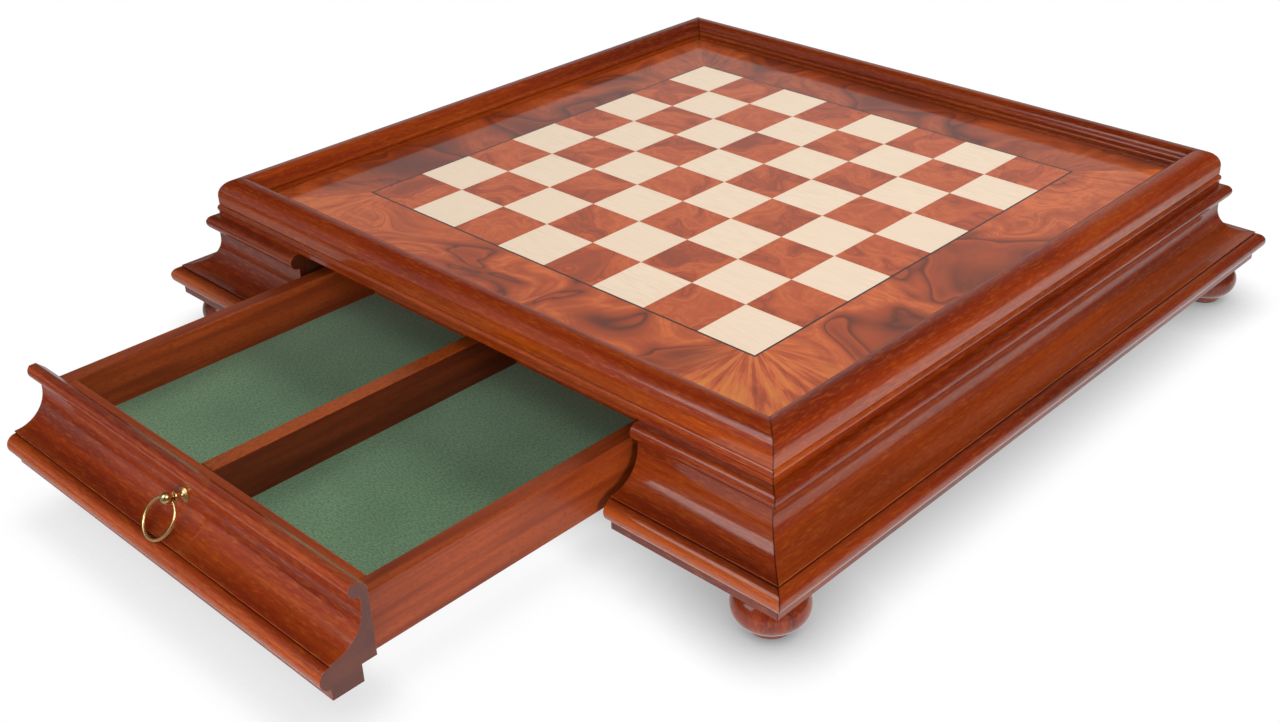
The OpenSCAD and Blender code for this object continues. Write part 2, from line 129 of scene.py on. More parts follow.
def stainedWood(name, along, look, mitre=False):
    material, tree, surface = newMaterial(name)
    layers = {}
    for number, (key, (perLength, perWidth, detail)) in enumerate(look["grain"].items()):
        grain = grainSpace(tree, along, perLength, perWidth, (7*number, 3*number, number))
        layers[key] = addNode(tree, "TexNoise", {"Vector": grain, "Scale": 1.0, "Detail": detail,
                                                 "Distortion": 0.5}).outputs[0]
    colour = addNode(tree, "ValToRGB", {"Fac": layers["streaks"]}, [
        (level, look[tone]) for level, tone in look["tones"]]).outputs[0]
    place = addNode(tree, "TexCoord", {}).outputs["Object"]
    # a band of heights is made paler: partly rubbed stain, partly painted light
    low, high, share = look["rubAndLitBand"]
    middle, half = (low + high)/2*mm, (high - low)/2*mm
    height = addNode(tree, "SeparateXYZ", {0: place}).outputs[2]
    height = addNode(tree, "Math", {0: height, 1: middle}, operation="SUBTRACT").outputs[0]
    height = addNode(tree, "Math", {0: height}, operation="ABSOLUTE").outputs[0]
    start, end = look["rubAndLitFade"]
    rubbedAndLit = addNode(tree, "MapRange", {0: height, 1: start*half, 2: end*half, 3: share, 4: 0.0},
                     interpolation_type="SMOOTHSTEP").outputs[0]
    colour = addNode(tree, "Mix", {0: rubbedAndLit, 6: colour, 7: shade(look["rubbedAndLit"])},
                     data_type="RGBA").outputs[2]
    for key, (low, high, first, last, tone) in look["marks"].items():
        mask = addNode(tree, "MapRange", {0: layers[key], 1: low, 2: high, 3: first, 4: last})
        colour = addNode(tree, "Mix", {0: mask.outputs[0], 6: colour, 7: shade(look[tone])},
                         data_type="RGBA").outputs[2]
    if mitre:    # the mitre joints show as fine dark lines
        solid, gone, share = look["joint"]
        split = addNode(tree, "SeparateXYZ", {0: place})
        away = []
        for axis, middle in ((0, 0), (1, caseY*mm)):
            out = addNode(tree, "Math", {0: split.outputs[axis], 1: middle}, operation="SUBTRACT")
            away.append(addNode(tree, "Math", {0: out.outputs[0]}, operation="ABSOLUTE").outputs[0])
        joint = addNode(tree, "Math", {0: away[0], 1: away[1]}, operation="SUBTRACT").outputs[0]
        joint = addNode(tree, "Math", {0: joint}, operation="ABSOLUTE").outputs[0]
        joint = addNode(tree, "MapRange", {0: joint, 1: solid*mm, 2: gone*mm, 3: share,
                                           4: 0.0}).outputs[0]
        colour = addNode(tree, "Mix", {0: joint, 6: colour, 7: shade(look["pore"])},
                         data_type="RGBA").outputs[2]
    # the quirks and inner corners are darkened by how shut in they are, partly for the stain that
    # gathers there and partly as painted shade, and their lacquer is made thin, which dims their
    # reflections as painted shade too
    inside = addNode(tree, "AmbientOcclusion", {"Distance": look["quirk"]*mm}, samples=8,
                     only_local=True).outputs["AO"]
    deep, shallow, share = look["quirkStainAndShade"]
    stainAndShade = addNode(tree, "MapRange", {0: inside, 1: deep, 2: shallow, 3: share, 4: 0.0}).outputs[0]
    colour = addNode(tree, "Mix", {0: stainAndShade, 6: colour, 7: shade(look["pore"])},
                     data_type="RGBA").outputs[2]
    deep, shallow, thin = look["quirkLacquerAndShade"]
    lacquerAndShade = addNode(tree, "MapRange", {0: inside, 1: deep, 2: shallow, 3: thin,
                                         4: look["coat"]}).outputs[0]
    if along != "Z":    # end grain takes the stain dull and dark
        low, high, share = look["endCut"]
        normal = addNode(tree, "NewGeometry", {}).outputs["Normal"]
        facing = addNode(tree, "SeparateXYZ", {0: normal}).outputs["XY".index(along)]
        facing = addNode(tree, "Math", {0: facing}, operation="ABSOLUTE").outputs[0]
        cut = addNode(tree, "MapRange", {0: facing, 1: low, 2: high, 3: 0.0, 4: share}).outputs[0]
        colour = addNode(tree, "Mix", {0: cut, 6: colour, 7: shade(look["end"])},
                         data_type="RGBA").outputs[2]
    bump = addNode(tree, "Bump", {"Height": layers["pores"], "Strength": look["poreStrength"],
                                  "Distance": look["poreDepth"]*mm})
    tree.links.new(colour, surface.inputs["Base Color"])
    tree.links.new(bump.outputs[0], surface.inputs["Normal"])
    setGloss(surface, look)
    tree.links.new(lacquerAndShade, surface.inputs["Coat Weight"])
    return material


# Burl veneer under the same lacquer: salmon-orange patches between olive-brown veins, fine growth
# lines that follow the veins, and at the mitres a fan of straight grain. Noise scales are repeats
# in one figure's width.
burl = {
    "deep": "#5e2814", "dark": "#8c3a16", "middle": "#ac481b", "light": "#cf652e",
    "gold": "#d27e2a", "figure": 84, "lines": 260, "lineDepth": 0.5, "lineFrom": 0.3,
    "warp": {"Scale": 0.9, "Detail": 1.0}, "warpReach": 2.2,
    "swirl": {"Scale": 0.9, "Detail": 2.2, "Roughness": 0.45, "Distortion": 0.5},
    "veins": ((0.30, "deep"), (0.36, "dark"), (0.41, "middle"), (0.425, "deep"), (0.44, "dark"),
              (0.47, "middle"), (0.54, "light"), (0.60, "middle"), (0.68, "light")),
    "patch": {"Scale": 2.3, "Detail": 2.0}, "patchEdge": (0.45, 0.62),
    "fibre": {"Scale": 11.0, "Detail": 4.0}, "fibreDepth": (0.38, 0.58, 0.4),
    # the fan starts this far from the middle, fades in over this strip and is weaker on one side
    "fanStart": 150, "fanStrip": (-26, 8), "fanSides": (0.36, 0.4, 0.9), "fanStretch": 3.0,
    "fan": {"Scale": 9.0, "Detail": 4.0, "Roughness": 0.6},
    "fanTones": ((0.30, "dark"), (0.42, "middle"), (0.52, "light"), (0.66, "gold")),
    "roughness": 0.5, "shine": 0.1, "coat": 1.0, "coatRoughness": 0.1,
}
# the far strips are cut from browner sheets, the dark squares from calmer ones
brownBurl = dict(burl, deep="#54241a", dark="#70301a", middle="#8e3a18", light="#ac4e22",
                 gold="#bc6428")
calmBurl = dict(burl, deep="#8a3a1c", dark="#9c421c", middle="#b24c20", light="#c45e2c",
                figure=34, lineDepth=0.3)
sheetJump = 3.0    # how far apart on the sheet, in metres, neighbouring squares are cut


def fromMiddle(tree):    # places on the board, from its middle
    place = addNode(tree, "TexCoord", {}).outputs["Object"]
    return addNode(tree, "Mapping", {"Vector": place, "Location": (0, -caseY*mm, 0)}).outputs[0]


def cutSquares(tree, centred):    # every square comes from another place of the sheet
    cell = addNode(tree, "VectorMath", {0: centred, 1: (squareWidth*mm, squareWidth*mm, 1)},
                   operation="SNAP").outputs[0]
    chance = addNode(tree, "TexWhiteNoise", {"Vector": cell}).outputs
    jump = addNode(tree, "VectorMath", {0: chance["Color"], "Scale": sheetJump},
                   operation="SCALE").outputs[0]
    sheet = addNode(tree, "VectorMath", {0: centred, 1: jump}, operation="ADD").outputs[0]
    return sheet, chance["Value"]


def burlVeneer(name, offset, look, squares=False):
    material, tree, surface = newMaterial(name)
    centred = fromMiddle(tree)
    sheet = cutSquares(tree, centred)[0] if squares else centred
    sheet = addNode(tree, "Mapping", {"Vector": sheet, "Location": offset,
                                      "Scale": [1/(look["figure"]*mm)]*3}).outputs[0]
    warp = addNode(tree, "TexNoise", {"Vector": sheet, **look["warp"]}).outputs["Color"]
    warp = addNode(tree, "VectorMath", {0: warp, "Scale": look["warpReach"]},
                   operation="SCALE").outputs[0]
    warped = addNode(tree, "VectorMath", {0: sheet, 1: warp}, operation="ADD").outputs[0]
    figure = addNode(tree, "TexNoise", {"Vector": warped, **look["swirl"]}).outputs[0]
    colour = addNode(tree, "ValToRGB", {"Fac": figure}, [
        (level, look[tone]) for level, tone in look["veins"]]).outputs[0]
    growth = addNode(tree, "Math", {0: figure, 1: look["lines"]}, operation="MULTIPLY").outputs[0]
    growth = addNode(tree, "Math", {0: growth}, operation="SINE").outputs[0]
    low, high = look["patchEdge"]
    patchy = addNode(tree, "TexNoise", {"Vector": sheet, **look["patch"]}).outputs[0]
    patchy = addNode(tree, "MapRange", {0: patchy, 1: low, 2: high, 3: 0.0,
                                        4: look["lineDepth"]}).outputs[0]
    growth = addNode(tree, "MapRange", {0: growth, 1: look["lineFrom"], 2: 1.0, 3: 0.0,
                                        4: patchy}).outputs[0]
    colour = addNode(tree, "Mix", {0: growth, 6: colour, 7: shade(look["dark"])},
                     data_type="RGBA").outputs[2]
    low, high, depth = look["fibreDepth"]
    fibre = addNode(tree, "TexNoise", {"Vector": warped, **look["fibre"]}).outputs[0]
    fibre = addNode(tree, "MapRange", {0: fibre, 1: low, 2: high, 3: depth, 4: 0.0}).outputs[0]
    colour = addNode(tree, "Mix", {0: fibre, 6: colour, 7: shade(look["dark"])},
                     data_type="RGBA").outputs[2]
    if not squares:    # straight grain fans out of the inner corners
        split = addNode(tree, "SeparateXYZ", {0: centred})
        away = []
        for axis in (0, 1):
            out = addNode(tree, "Math", {0: split.outputs[axis]}, operation="ABSOLUTE").outputs[0]
            away.append(addNode(tree, "Math", {0: out, 1: look["fanStart"]*mm},
                                operation="SUBTRACT").outputs[0])
        turn = addNode(tree, "Math", {0: away[1], 1: away[0]}, operation="ARCTAN2").outputs[0]
        reach = addNode(tree, "CombineXYZ", {0: away[0], 1: away[1]}).outputs[0]
        reach = addNode(tree, "VectorMath", {0: reach}, operation="LENGTH").outputs["Value"]
        ray = addNode(tree, "Math", {0: reach, 1: look["fanStretch"]},
                      operation="MULTIPLY").outputs[0]
        ray = addNode(tree, "CombineXYZ", {0: turn, 1: ray, 2: offset[0]}).outputs[0]
        fan = addNode(tree, "TexNoise", {"Vector": ray, **look["fan"]}).outputs[0]
        fan = addNode(tree, "ValToRGB", {"Fac": fan}, [
            (level, look[tone]) for level, tone in look["fanTones"]]).outputs[0]
        nearMitre = addNode(tree, "Math", {0: away[0], 1: away[1]}, operation="MINIMUM").outputs[0]
        aside = addNode(tree, "Math", {0: split.outputs[0], 1: split.outputs[1]},
                        operation="SUBTRACT").outputs[0]
        far, weak, strong = look["fanSides"]
        share = addNode(tree, "MapRange", {0: aside, 2: far, 3: weak, 4: strong}).outputs[0]
        low, high = look["fanStrip"]
        blend = addNode(tree, "MapRange", {0: nearMitre, 1: low*mm, 2: high*mm, 3: 0.0, 4: share},
                        interpolation_type="SMOOTHSTEP").outputs[0]
        colour = addNode(tree, "Mix", {0: blend, 6: colour, 7: fan}, data_type="RGBA").outputs[2]
    tree.links.new(colour, surface.inputs["Base Color"])
    setGloss(surface, look)
    return material


# Quarter-cut maple under the same lacquer: fine flecked lines, each square its own tone
maple = {
    "pale": "#eed8c0", "warm": "#ecd4ba", "line": "#e5cbae", "grain": (14, 0.9),
    "tones": ((0.3, "line"), (0.48, "warm"), (0.62, "pale")), "variety": 0.6,
    "roughness": 0.5, "shine": 0.1, "coat": 1.0, "coatRoughness": 0.06,
}


def mapleVeneer(name, look):
    material, tree, surface = newMaterial(name)
    sheet, chance = cutSquares(tree, fromMiddle(tree))
    perLength, perWidth = look["grain"]
    fine = addNode(tree, "Mapping", {"Vector": sheet,
                                     "Scale": (1/(perLength*mm), 1/(perWidth*mm), 1)}).outputs[0]
    lines = addNode(tree, "TexNoise", {"Vector": fine, "Scale": 1.0, "Detail": 2.0}).outputs[0]
    colour = addNode(tree, "ValToRGB", {"Fac": lines}, [
        (level, look[tone]) for level, tone in look["tones"]]).outputs[0]
    tone = addNode(tree, "MapRange", {0: chance, 3: 0.0, 4: look["variety"]}).outputs[0]
    colour = addNode(tree, "Mix", {0: tone, 6: colour, 7: shade(look["warm"])},
                     data_type="RGBA").outputs[2]
    tree.links.new(colour, surface.inputs["Base Color"])
    setGloss(surface, look)
    return material


# Unlacquered or thinly waxed wood; where asked, its upward faces take a lighter tone than its sides:
# painted light on the top, painted shade on the sides
plainGrain = {"lines": (90, 5), "lineTones": (0.3, 0.65), "pores": (3.5, 0.5),
              "poreDepth": (0.32, 0.5, 0.6), "litTopFacing": (0.5, 0.9, 0.9), "shine": 0.2,
              "coatRoughness": 0.22}


def plainWood(name, along, pale, dark, coat=0.0, roughness=0.6, litTop=None):
    material, tree, surface = newMaterial(name)
    lines = addNode(tree, "TexNoise", {"Vector": grainSpace(tree, along, *plainGrain["lines"]),
                                       "Scale": 1.0, "Detail": 6.0, "Distortion": 0.3}).outputs[0]
    colour = addNode(tree, "ValToRGB", {"Fac": lines},
                     list(zip(plainGrain["lineTones"], (dark, pale)))).outputs[0]
    # upward faces take the lighter top tone: painted light on the top against painted shade on the
    # sides
    if litTop:
        low, high, share = plainGrain["litTopFacing"]
        normal = addNode(tree, "NewGeometry", {}).outputs["Normal"]
        upward = addNode(tree, "SeparateXYZ", {0: normal}).outputs[2]
        upward = addNode(tree, "MapRange", {0: upward, 1: low, 2: high, 3: 0.0, 4: share})
        colour = addNode(tree, "Mix", {0: upward.outputs[0], 6: colour, 7: shade(litTop)},
                         data_type="RGBA").outputs[2]
    low, high, depth = plainGrain["poreDepth"]
    pores = addNode(tree, "TexNoise", {"Vector": grainSpace(tree, along, *plainGrain["pores"]),
                                       "Scale": 1.0, "Detail": 1.0}).outputs[0]
    pores = addNode(tree, "MapRange", {0: pores, 1: low, 2: high, 3: depth, 4: 0.0}).outputs[0]
    colour = addNode(tree, "Mix", {0: pores, 6: colour, 7: shade(dark)},
                     data_type="RGBA").outputs[2]
    tree.links.new(colour, surface.inputs["Base Color"])
    setGloss(surface, {"roughness": roughness, "coat": coat, "shine": plainGrain["shine"],
                       "coatRoughness": plainGrain["coatRoughness"]})
    return material


# Wool baize: no shine, short matted fibres. The thread is drawn coarser than real to show at all.
wool = {"thread": (1.9, 0.9, 1.0), "tones": (0.32, 0.62), "cloudScale": 30.0,
        "cloudDepth": (0.4, 0.6, 0.22), "nap": 0.2, "napStrength": 0.4, "roughness": 0.95,
        "sheen": 0.2}


def feltCloth(name, base, dark):
    material, tree, surface = newMaterial(name)
    place = addNode(tree, "TexCoord", {}).outputs["Object"]
    rows = addNode(tree, "Mapping", {"Vector": place,
                                     "Scale": [1/(size*mm) for size in wool["thread"]]}).outputs[0]
    fibres = addNode(tree, "TexNoise", {"Vector": rows, "Scale": 1.0, "Detail": 3.0}).outputs[0]
    cloud = addNode(tree, "TexNoise", {"Vector": place, "Scale": wool["cloudScale"],
                                       "Detail": 3.0}).outputs[0]
    colour = addNode(tree, "ValToRGB", {"Fac": fibres}, list(zip(wool["tones"], (dark, base))))
    low, high, depth = wool["cloudDepth"]
    cloud = addNode(tree, "MapRange", {0: cloud, 1: low, 2: high, 3: depth, 4: 0.0}).outputs[0]
    colour = addNode(tree, "Mix", {0: cloud, 6: colour.outputs[0], 7: shade(dark)},
                     data_type="RGBA").outputs[2]
    bump = addNode(tree, "Bump", {"Height": fibres, "Strength": wool["napStrength"],
                                  "Distance": wool["nap"]*mm})
    tree.links.new(colour, surface.inputs["Base Color"])
    tree.links.new(bump.outputs[0], surface.inputs["Normal"])
    surface.inputs["Roughness"].default_value = wool["roughness"]
    surface.inputs["Sheen Weight"].default_value = wool["sheen"]
    return material


# Turned and buffed metal: faint wear in colour and gloss
buffing = {"scale": 260.0, "wear": (0.45, 0.7, 0.35), "gloss": (0.7, 1.6)}


def polishedMetal(name, colour, tarnish, roughness):
    material, tree, surface = newMaterial(name)
    place = addNode(tree, "TexCoord", {}).outputs["Object"]
    wear = addNode(tree, "TexNoise", {"Vector": place, "Scale": buffing["scale"],
                                      "Detail": 2.0}).outputs[0]
    low, high, share = buffing["wear"]
    worn = addNode(tree, "MapRange", {0: wear, 1: low, 2: high, 3: 0.0, 4: share}).outputs[0]
    tone = addNode(tree, "Mix", {0: worn, 6: shade(colour), 7: shade(tarnish)},
                   data_type="RGBA").outputs[2]
    smooth, rough = buffing["gloss"]
    gloss = addNode(tree, "MapRange", {0: wear, 3: roughness*smooth,
                                       4: roughness*rough}).outputs[0]
    tree.links.new(tone, surface.inputs["Base Color"])
    tree.links.new(gloss, surface.inputs["Roughness"])
    surface.inputs["Metallic"].default_value = 1.0
    return material


# the base is painted paler along its large round in front, partly rubbed stain and partly painted
# light, and low in the hollow on the sides, partly rubbed stain and partly painted light where the
# hollow faces up
roundRubAndLight, hollowRubAndLight = (33.4, 45.6), (44, 58)
railWoodX = stainedWood("lacqueredBeechAlongX", "X", mouldingWood, mitre=True)
railWoodY = stainedWood("lacqueredBeechAlongY", "Y", mouldingWood, mitre=True)
baseWoodX = stainedWood("deepStainedBeechAlongX", "X", dict(baseWood, rubAndLitBand=(*roundRubAndLight, 0.7)),
                        mitre=True)
baseWoodY = stainedWood("deepStainedBeechAlongY", "Y", dict(baseWood, rubAndLitBand=(*hollowRubAndLight, 0.2)),
                        mitre=True)
footWood = stainedWood("lacqueredBeechTurned", "Z", baseWood)
# the drawer front's end grain is paler than the mouldings' as the lit copy of the same end tone
faceWood = stainedWood("lacqueredBeechDrawerFront", "X",
                       dict(mouldingWood, end="#40201a", rubAndLitBand=(*roundRubAndLight, 0.5)))
burlSides = {side: burlVeneer("burlVeneer" + side.capitalize(), offset, look)
             for side, offset, look in (
                 ("front", (0, 0, 0), burl), ("back", (5, 3, 0), brownBurl),
                 ("left", (9, 1, 4), brownBurl), ("right", (2, 8, 7), burl))}
burlSquares = burlVeneer("burlVeneerSquares", (4, 4, 2), calmBurl, squares=True)
mapleSquares = mapleVeneer("mapleVeneer", maple)
lineVeneer = plainWood("dyedPearLine", "X", "#2c1a12", "#1a0e09", coat=1.0, roughness=0.4)
boxWoodX = plainWood("waxedBoxWoodX", "X", "#953f14", "#702708", coat=0.4, roughness=0.5)
boxWoodY = plainWood("waxedBoxWoodY", "Y", "#8c3c15", "#662409", coat=0.4, roughness=0.5)
# the divider's sides are painted darker than the other box walls as painted shade, and its top keeps
# the lighter box wood tone
dividerWoodInPaintedShade = plainWood("waxedDividerWoodPaintedShade", "Y", "#5e250b", "#421505", coat=0.4, roughness=0.5,
                        litTop="#964416")
carcassWood = plainWood("spruceCarcass", "Y", "#43200f", "#2c1309")
plywood = plainWood("birchPlywood", "X", "#c79f70", "#a57c4e")
coreBoard = plainWood("limeCoreBoard", "X", "#b48c5e", "#94703f")
liningFelt = feltCloth("greenBaize", "#698a66", "#4b664e")
padFelt = feltCloth("brownFelt", "#4a3a30", "#2e231c")
brass = polishedMetal("polishedBrass", "#ffe3a4", "#dcae62", 0.25)
screwSteel = polishedMetal("zincedSteel", "#b8b8b4", "#85827a", 0.3)
print("materials made:", len(bpy.data.materials))


def deselect():
    if bpy.context.mode != "OBJECT":
        bpy.ops.object.mode_set(mode="OBJECT")
    bpy.ops.object.select_all(action="DESELECT")


def pick(piece):
    deselect()
    bpy.context.view_layer.objects.active = piece
    piece.select_set(True)
    return piece


# a chain of vertices in the YZ plane: a step is a point, or (centre, degrees) for an arc
def drawOutline(name, start, steps, arcStep=7):
    deselect()
    bpy.ops.mesh.primitive_plane_add(size=1*mm)
    piece = bpy.context.object
    piece.name = piece.data.name = name
    bpy.ops.object.mode_set(mode="EDIT")
    bpy.ops.mesh.select_all(action="SELECT")
    bpy.ops.mesh.merge(type="CENTER")
    bpy.ops.transform.translate(value=(0, start[0]*mm, start[1]*mm))
    here = Vector(start)
    for step in steps:
        if isinstance(step[0], tuple):
            centre, turn = Vector(step[0]), step[1]
            bpy.ops.mesh.spin(steps=max(2, round(abs(turn)/arcStep)), angle=-radians(turn),
                              center=(0, centre.x*mm, centre.y*mm), axis=(1, 0, 0))
            here = centre + Matrix.Rotation(radians(turn), 2) @ (here - centre)
        else:
            bpy.ops.mesh.extrude_region_move(TRANSFORM_OT_translate={
                "value": (0, (step[0] - here.x)*mm, (step[1] - here.y)*mm)})
            here = Vector(step)
    return piece


def angleTo(centre, point):
    return degrees(atan2(point[1] - centre[1], point[0] - centre[0]))


def sweepOutline(piece, low, high):    # fills the outline and pulls it along X
    bpy.ops.mesh.select_all(action="SELECT")
    bpy.ops.mesh.remove_doubles(threshold=0.01*mm)
    bpy.ops.mesh.edge_face_add()
    bpy.ops.transform.translate(value=(low*mm, 0, 0))
    bpy.ops.mesh.extrude_region_move(TRANSFORM_OT_translate={"value": ((high - low)*mm, 0, 0)})
    bpy.ops.mesh.select_all(action="SELECT")
    bpy.ops.mesh.normals_make_consistent(inside=False)
    return piece


def cutAway(point, normal):
    bpy.ops.mesh.select_all(action="SELECT")
    bpy.ops.mesh.bisect(plane_co=[c*mm for c in point], plane_no=normal, use_fill=True,
                        clear_outer=True)


def addModifier(piece, kind, **settings):
    modifier = piece.modifiers.new(kind.lower(), kind)
    for name, value in settings.items():
        setattr(modifier, name, value)
    pick(piece)
    bpy.ops.object.modifier_apply(modifier=modifier.name)


def easeEdges(piece, width):
    addModifier(piece, "BEVEL", width=width*mm, segments=2, limit_method="ANGLE",
                angle_limit=radians(40), loop_slide=False)


def placeAt(piece, turn, move):
    pick(piece)
    piece.rotation_euler = (0, 0, radians(turn))
    piece.location = [c*mm for c in move]
    bpy.ops.object.transform_apply(location=True, rotation=True, scale=True)


def copyPiece(piece, name):
    twin = piece.copy()
    twin.data = piece.data.copy()
    twin.name = twin.data.name = name
    bpy.context.scene.collection.objects.link(twin)
    return twin


def finishPiece(piece, material, body, cadNodes, smooth=35):
    pick(piece)
    bpy.ops.object.shade_smooth_by_angle(angle=radians(smooth))
    # long faces stay flat beside their eased edges
    addModifier(piece, "WEIGHTED_NORMAL", keep_sharp=True)
    piece.data.materials.clear()
    piece.data.materials.append(material)
    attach(piece, body)
    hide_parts(*cadNodes)


# Top frame: four mitred rails with a rounded crest. Below the crest's flat lies a bead, which
# starts and ends where the two offsets from it say.
topFrame = {
    "innerEdge": 207.3, "top": 94.5, "width": 23, "crestHeight": 12.2, "crestRadius": 11.8,
    "crestFlat": 0.5, "innerRadius": 5.5, "beadRadius": 1.9, "beadUp": 1.33,
    "beadFrom": (1.189, 1.408), "beadTo": (3.518, 2.534), "stepHeight": 2.2, "faceDrop": 4.6,
    "grooveIn": 0.7, "lowerRadius": 3.3, "lowerAt": (20.9, -7.6), "bandOut": 0.6, "drop": 12.6,
    "tongue": 7.3, "reach": 250, "easing": 0.3,
}


# a section is drawn from its own inner corner, and this sets it in its place on the box
def setSection(steps, out, up):
    placed = []
    for step in steps:
        if isinstance(step[0], tuple):
            centre, turn = step
            placed.append(((centre[0] + out, centre[1] + up), turn))
        else:
            placed.append((step[0] + out, step[1] + up))
    return placed[0], placed[1:]


def frameSection(size):
    width, crest, crestRadius = size["width"], size["crestHeight"], size["crestRadius"]
    innerRadius, bead, lowerAt = size["innerRadius"], size["beadRadius"], size["lowerAt"]
    inner = width - crestRadius - size["crestFlat"] - innerRadius
    beadAt = (inner - bead, size["stepHeight"] + size["beadUp"])
    beadStart = (inner - size["beadFrom"][0], crest - innerRadius - size["beadFrom"][1])
    beadEnd = (inner - size["beadTo"][0], size["beadTo"][1])
    beadTurn = (angleTo(beadAt, beadEnd) - angleTo(beadAt, beadStart)) % 360
    band = width + size["bandOut"]
    fromBand = acos((band - lowerAt[0])/size["lowerRadius"])
    toGroove = acos((width - size["grooveIn"] - lowerAt[0])/size["lowerRadius"])
    return setSection([
        (size["tongue"], -size["drop"]),
        (band, -size["drop"]),
        (band, lowerAt[1] - size["lowerRadius"]*sin(fromBand)),
        (lowerAt, degrees(fromBand + toGroove)),
        (width, -size["faceDrop"]),
        (width, crest - crestRadius),
        ((width - crestRadius, crest - crestRadius), 90),
        (inner + innerRadius, crest),
        ((inner + innerRadius, crest - innerRadius), 90),
        beadStart,
        (beadAt, beadTurn),
        (inner - 2*bead, size["stepHeight"]),
        (0, size["stepHeight"]),
        (0, 0),
        (size["tongue"], 0),
        (size["tongue"], -size["drop"]),
    ], size["innerEdge"], size["top"])


def mitredRail(name, section, reach):
    start, steps = section
    rail = sweepOutline(drawOutline(name, start, steps), -reach, reach)
    cutAway((0, 0, 0), (1, -1, 0))
    cutAway((0, 0, 0), (-1, -1, 0))
    deselect()
    return rail


sideTurns = {"back": 0, "left": 90, "front": 180, "right": 270}
frameRail = mitredRail("frameRail", frameSection(topFrame), topFrame["reach"])
easeEdges(frameRail, topFrame["easing"])
for side, turn in sideTurns.items():
    rail = copyPiece(frameRail, "frameRail" + side.capitalize())
    placeAt(rail, turn, (0, caseY, 0))
    finishPiece(rail, railWoodX if turn % 180 == 0 else railWoodY, "case",
                ["frame_" + side])
bpy.data.objects.remove(frameRail)
print("top frame done")


# Base moulding: half-round, cove, lip, large round and plinth
baseMoulding = {
    "carcass": 227.2, "foot": 27, "height": 54.9, "plinth": 26, "roundAt": (25.2, 12.5),
    "roundRadius": 6.1, "lip": (25.4, 20.1), "lipHeight": 0.9, "quirk": 0.8,
    "coveAt": (24.4, 39.27), "coveRadius": 19.2,
    "neck": 5.2, "beadAt": (5.8, 50.0), "beadRadius": 4.9, "rebate": (8.4, 9.6),
    "opening": 144, "reach": 285, "easing": 0.3,
}
drawerFront = {
    "half": 142, "clear": 0.4, "top": 53.9, "slope": 5.2, "rebate": (8.8, 9.9), "easing": 0.45,
    "open": 171,
}


def baseSection(size, front=None):
    roundAt, roundRadius = size["roundAt"], size["roundRadius"]
    reach = (roundRadius**2 - (size["plinth"] - roundAt[0])**2)**0.5
    lipU, lipV = size["lip"]
    quirkU, quirkV = lipU - size["quirk"], lipV - size["lipHeight"]
    roundTurn = degrees(asin(reach/roundRadius)) + degrees(acos((quirkU - roundAt[0])/roundRadius))
    coveAt, coveRadius = size["coveAt"], size["coveRadius"]
    coveFrom = (lipU, coveAt[1] - (coveRadius**2 - (lipU - coveAt[0])**2)**0.5)
    beadAt, beadRadius = size["beadAt"], size["beadRadius"]
    neckReach = (beadRadius**2 - (beadAt[0] - size["neck"])**2)**0.5
    beadFrom = (size["neck"], beadAt[1] - neckReach)
    beadStart = angleTo(beadAt, beadFrom)
    if front:
        rebate = front["rebate"]
        beadTop = degrees(asin((front["top"] - beadAt[1])/beadRadius))
        closing = [(front["slope"], front["top"]),
                   (front["clear"], front["top"] - front["slope"] + front["clear"]),
                   (front["clear"], rebate[1])]
    else:
        rebate, beadTop = size["rebate"], 90
        closing = [(0, size["height"]), (0, rebate[1])]
    return setSection([
        (rebate[0], 0),
        (size["plinth"], 0),
        (size["plinth"], roundAt[1] - reach),
        (roundAt, roundTurn),
        (quirkU, quirkV),
        (lipU, quirkV),
        coveFrom,
        (coveAt, -(180 + angleTo(coveAt, coveFrom))),
        beadFrom,
        (beadAt, beadTop - beadStart),
        *closing,
        rebate,
        (rebate[0], 0),
    ], size["carcass"], size["foot"])


baseRail = mitredRail("baseRail", baseSection(baseMoulding), baseMoulding["reach"])
shortRail = copyPiece(baseRail, "shortRail")
easeEdges(baseRail, baseMoulding["easing"])
for side in ("left", "right"):
    rail = copyPiece(baseRail, "baseMoulding" + side.capitalize())
    placeAt(rail, sideTurns[side], (0, caseY, 0))
    finishPiece(rail, baseWoodY, "case", ["base_" + side])
# the pieces beside the openings end square
for side, hand, cadNode in (("front", 1, "base_front_left"), ("front", -1, "base_front_right"),
                            ("back", 1, "base_back_right"), ("back", -1, "base_back_left")):
    place = cadNode.split("_", 1)[1].title().replace("_", "")
    rail = pick(copyPiece(shortRail, "baseMoulding" + place))
    bpy.ops.object.mode_set(mode="EDIT")
    cutAway((hand*baseMoulding["opening"], 0, 0), (-hand, 0, 0))
    deselect()
    easeEdges(rail, baseMoulding["easing"])
    placeAt(rail, sideTurns[side], (0, caseY, 0))
    finishPiece(rail, baseWoodX, "case", [cadNode])
for helper in (baseRail, shortRail):
    bpy.data.objects.remove(helper)
print("base moulding done")


# Drawers: a moulded front before a plain box
start, steps = baseSection(baseMoulding, drawerFront)
face = sweepOutline(drawOutline("drawerFace", start, steps), -drawerFront["half"],
                    drawerFront["half"])
deselect()
easeEdges(face, drawerFront["easing"])
for side, turn, moveY in (("front", 180, caseY - drawerFront["open"]), ("back", 0, caseY)):
    moved = copyPiece(face, side + "DrawerFace")
    placeAt(moved, turn, (0, moveY, 0))
    finishPiece(moved, faceWood, side + "_drawer", [side + "_drawer_face"])
bpy.data.objects.remove(face)

